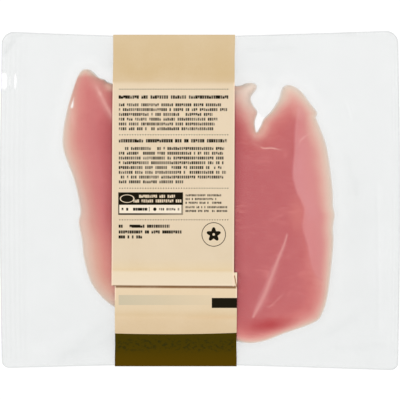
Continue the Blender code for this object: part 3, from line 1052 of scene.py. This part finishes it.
def rosette(card, dx, dy):
    """A plain flower of five petals in a thin ring."""
    radius = (dx**2 + dy**2) ** 0.5
    turn = card.node("Math", {"operation": "ARCTAN2"}, {0: dy, 1: dx})
    petals = 3.7 + card.node("Math", {"operation": "COSINE"}, {0: turn * 5 - math.pi / 2})
    return (radius < petals) * (radius > 0.8) | radius.band(7.35, 7.8)


def sleeve_finish():
    """Uncoated buff card. Along y, from top to bottom: a bare slope, two blocks of rows between dotted
    rules, a dark field and a frame, the rosette, the lap, a pale stripe, a dark bar and the olive band."""
    card = Finish("printed_card")
    x, y, z = card.place()
    across = card.value("across")
    run = card.point(across, card.value("run"))
    grain = card.noise(run, 1.6, 3, 0.7)
    cloud = card.noise(run, 0.05, 3)
    fibre = card.noise(run, 0.6, 4, 0.65)
    on_top = z > SEAL_Z
    buff = (y + (x - TRAILING_X) * LAP_SKEW).shades(BUFF)
    # painted shade along the fold of the card below the lap
    crease_shade = (1 - abs(y + 75.2).rise(0, 2.4)) * x.rise(-24, 16)
    # painted highlight along the card's long cut edges, where they catch the light
    edge = abs(across).rise(HALF_SLEEVE - 1.1, HALF_SLEEVE - 0.3) * y.band(-64, 76)
    panel = x.band(-52.5, -10.9)
    window = x.band(-51.8, -12) * y.band(-8.15, -2.8)
    stripe = x.band(PRINT_X, 8) * y.band(-67.2, -60.7) * (0.85 - (x + 52) * 0.0115)
    # painted shadow between the card's layers at a small tear in the lap's right corner
    nick = (abs(x - 22.7 + (y + 51.1) * 0.2) < 0.36) * y.band(-55.4, -48.2)
    colour = card.layered(card.mix(on_top, tint(224, 205, 178), buff), [
        ((cloud + fibre * 0.4).rise(-0.3, 0.5) * 0.28, tint(231, 214, 188)),
        ((0 - cloud - fibre * 0.5).rise(0, 0.5) * 0.3, tint(214, 190, 152)),
        # painted shade in the card's fold
        (crease_shade * 0.5, tint(216, 184, 144)),
        # painted highlight along the cut edges
        (edge * 0.6, tint(250, 222, 198)),
        (window * 0.8, tint(242, 230, 210)),
        (stripe, tint(196, 186, 160)),
        # painted shadow at the lap's right corner
        (nick * 0.85, tint(150, 92, 56)),
    ])
    ink = printed_rows(card, x, y, PRINT)
    for rule_y in (71.6, 42.2, 7.9, -12.4):
        ink |= dotted_rule(x, y, rule_y, PRINT_X, 19) * 0.85
    ink |= rosette(card, x - 8.8, y + 21.8)
    ink |= x.band(-32.8, -32.4) * y.band(-7, -4.2)
    ink |= ((x + 29) ** 2 + (y + 5.6) ** 2 < 1.1**2)
    oval = ((x + 46.8) ** 2 + (y - 1.2) ** 2 * 3.2) ** 0.5
    pale = printed_rows(card, x, y, PALE_PRINT) | oval.band(4, 4.7)
    ink |= panel * y.band(-2.8, 5.25) * (1 - pale)
    frame_bar = panel * y.band(-9.25, -2.8) * (1 - window)
    ink |= frame_bar * (0.95 - (x + 52).rise(10, 44) * 0.35)
    ink |= x.band(7.55, 30) * y.band(-69.1, -62.6)
    band_edge = (x + 22) ** 2 * 0.00042 - 86.25
    leaf = card.noise(card.point(x, y * 1.4), 0.32, 4, 0.7)
    sprigs = leaf.rise(0, 0.1) * (1 - abs(y + 93.5).rise(2, 6))
    olive = card.mix((y + 98).rise(-8, 8), tint(81, 60, 0), tint(66, 54, 2))
    olive = card.mix(sprigs * 0.75, olive, tint(44, 42, 10))
    colour = card.layered(colour, [
        ((y < band_edge) * (on_top | (y < -88)), olive),
        (ink * on_top, INK),
    ])
    card.set(Base_Color=colour, Normal=card.bump(grain + fibre * 0.5, 0.00005))
    card.set(Roughness=0.75, Specular_IOR_Level=0.03)
    return card.material


def card_relief(x, y):
    """The soft creases of the card's upper side: above the lap, below it and along the crest."""
    wave = y + 74.2 - 0.7 * np.sin(x / 11)
    fold = 0.08 * ridge(y + 41.6, 2) - 0.12 * ridge(y + 44.6, 1.3)
    fold += 0.14 * ridge(wave, 1.5) - 0.1 * ridge(wave + 3, 1.6)
    dents = ripple(np.column_stack([x, y * 0.5]), 16, 51) * 0.09
    return fold + dents * smooth(np.abs(y + 50.5), 3, 12)


def sleeve_mesh():
    path = sleeve_path()
    forward = np.gradient(path, axis=0)
    forward /= np.linalg.norm(forward, axis=1)[:, None]
    outward = np.column_stack([forward[:, 1], -forward[:, 0]])
    run = np.concatenate([[0], np.cumsum(np.linalg.norm(np.diff(path, axis=0), axis=1))])
    middle = LEADING_X + (TRAILING_X - LEADING_X) * run / run[-1]
    shares = np.linspace(-1, 1, CARD_COLUMNS)
    values = {
        "run": np.tile(np.repeat(run, CARD_COLUMNS), 2),
        "across": np.tile(shares * HALF_SLEEVE, 2 * len(path)),
    }
    vertices = []
    for face in (1, -1):
        for k, (y, z) in enumerate(path):
            spread = SPREAD * smooth(abs(y), CREST_Y + 16, TURN_Y - 3)
            x = middle[k] + shares * (HALF_SLEEVE + spread)
            lift = face * PAPER / 2 + card_relief(x, x * 0 + y) * smooth(z, 12, 16)
            skew = LAP_SKEW * (x - middle[k]) * smooth(run[k], run[-1] - 12, run[-1] - 6)
            vertices += zip(x, y + outward[k, 0] * lift - skew, z + outward[k, 1] * lift)
    sides = np.arange(len(vertices)).reshape(2, len(path), CARD_COLUMNS).tolist()
    loops = [outer + inner[::-1] for outer, inner in zip(*sides)]
    faces = []
    for here, there in zip(loops, loops[1:]):
        faces += [[here[k - 1], here[k], there[k], there[k - 1]] for k in range(len(here))]
    for end in (loops[0][::-1], loops[-1]):
        faces += [[end[k], end[k + 1], end[-k - 2], end[-k - 1]] for k in range(CARD_COLUMNS - 1)]
    return mesh_object("paper_sleeve", vertices, faces, sleeve_finish(), values)


sleeve = sleeve_mesh()
sleeve.data.set_sharp_from_angle(angle=math.radians(40))
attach(sleeve, "root")
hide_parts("sleeve")


# The table, the light and the camera -----------------------------------
# A plain white table with the pack laid flat on it, under even soft light. The camera stands
# straight above and looks down through a long lens.

FRAME_WIDTH = 0.26
CAMERA_HEIGHT = 1.1
CAMERA_Y = 0.000325  # half a pixel up
TABLE_REACH = 3000
WHITE = (1, 1, 1, 1)

paint = Finish("white_table")
paint.set(Base_Color=(0.15, 0.15, 0.15, 1), Emission_Color=WHITE, Emission_Strength=0.9)
paint.set(Roughness=0.9, Specular_IOR_Level=0)
corners = [(TABLE_REACH * x, TABLE_REACH * y, 0) for x, y in ((-1, -1), (1, -1), (1, 1), (-1, 1))]
mesh_object("table", corners, [[0, 1, 2, 3]], paint.material, {})

light = bpy.data.lights.new("key", "AREA")
light.shape = "DISK"
light.size = 1.4
light.energy = 7
lamp = bpy.data.objects.new("key", light)
lamp.location = (-0.1, -0.1, 1.5)
lamp.rotation_euler = (-lamp.location).to_track_quat("-Z", "Y").to_euler()
bpy.context.scene.collection.objects.link(lamp)

optics = bpy.data.cameras.new("camera")
optics.sensor_width = 36
optics.lens = optics.sensor_width * CAMERA_HEIGHT / FRAME_WIDTH
camera = bpy.data.objects.new("camera", optics)
camera.location = (0, CAMERA_Y, CAMERA_HEIGHT + SEAL_Z * MM)
bpy.context.scene.collection.objects.link(camera)
bpy.context.scene.camera = camera

world = bpy.data.worlds.new("studio")
world.use_nodes = True
sky = world.node_tree.nodes["Background"].inputs
sky["Color"].default_value = WHITE
sky["Strength"].default_value = 0.83
bpy.context.scene.world = world
bpy.context.scene.view_settings.view_transform = "Standard"
